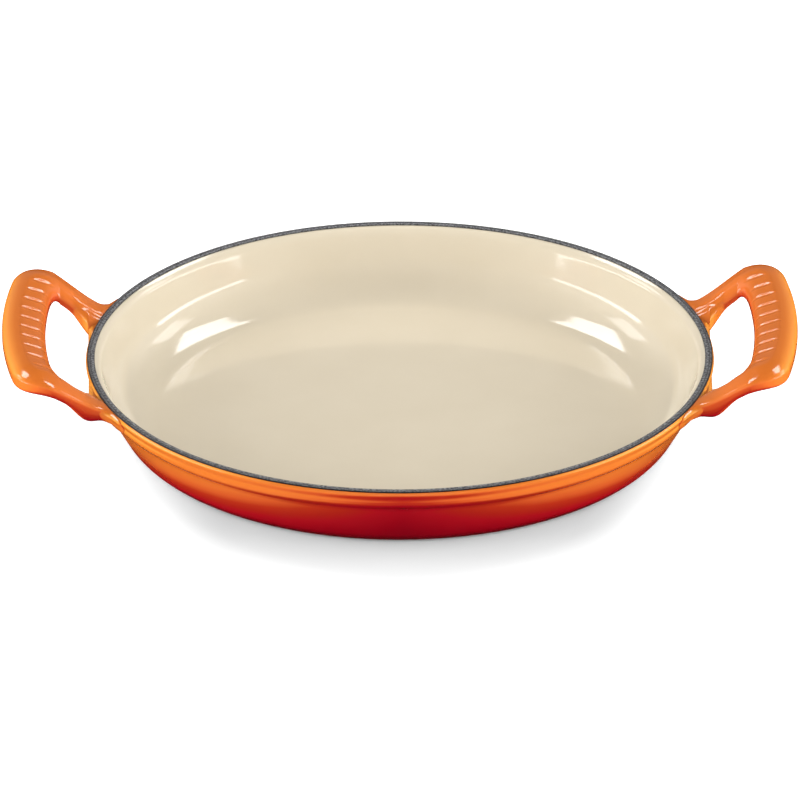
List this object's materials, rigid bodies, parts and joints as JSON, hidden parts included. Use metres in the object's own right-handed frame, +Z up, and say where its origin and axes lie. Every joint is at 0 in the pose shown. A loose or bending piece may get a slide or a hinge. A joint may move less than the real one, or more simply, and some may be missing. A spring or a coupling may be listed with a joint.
{
  "type": "baking dish",
  "caption": "Shallow round baking dish of enamelled cast iron with rising, fluted loop handles cast at opposite sides and a bare ground rim.",
  "frame": {"origin": "on the dish's axis, in the plane that the foot ring stands on", "axes": "+X through the middle of one handle, +Y across the dish between the handles, +Z up out of the dish's mouth"},
  "size_m": [0.3238, 0.256, 0.0489],
  "materials": {
    "iron": "as cast, hidden under the coats",
    "exterior_enamel": "glossy fired enamel, orange at the top fading to deep red at the bottom",
    "interior_enamel": "glossy fired enamel, cream",
    "rim_coat": "bare ground coat, satin dark grey",
    "foot_coat": "bare ground coat, rubbed satin",
    "underside_enamel": "glossy fired enamel, deep red"
  },
  "bodies": {
    "root": {"iron_casting": "iron", "exterior_enamel": "exterior_enamel", "interior_enamel": "interior_enamel", "rim_ground_coat": "rim_coat", "foot_ground_coat": "foot_coat", "underside_enamel": "underside_enamel"}
  },
  "joints": []
}
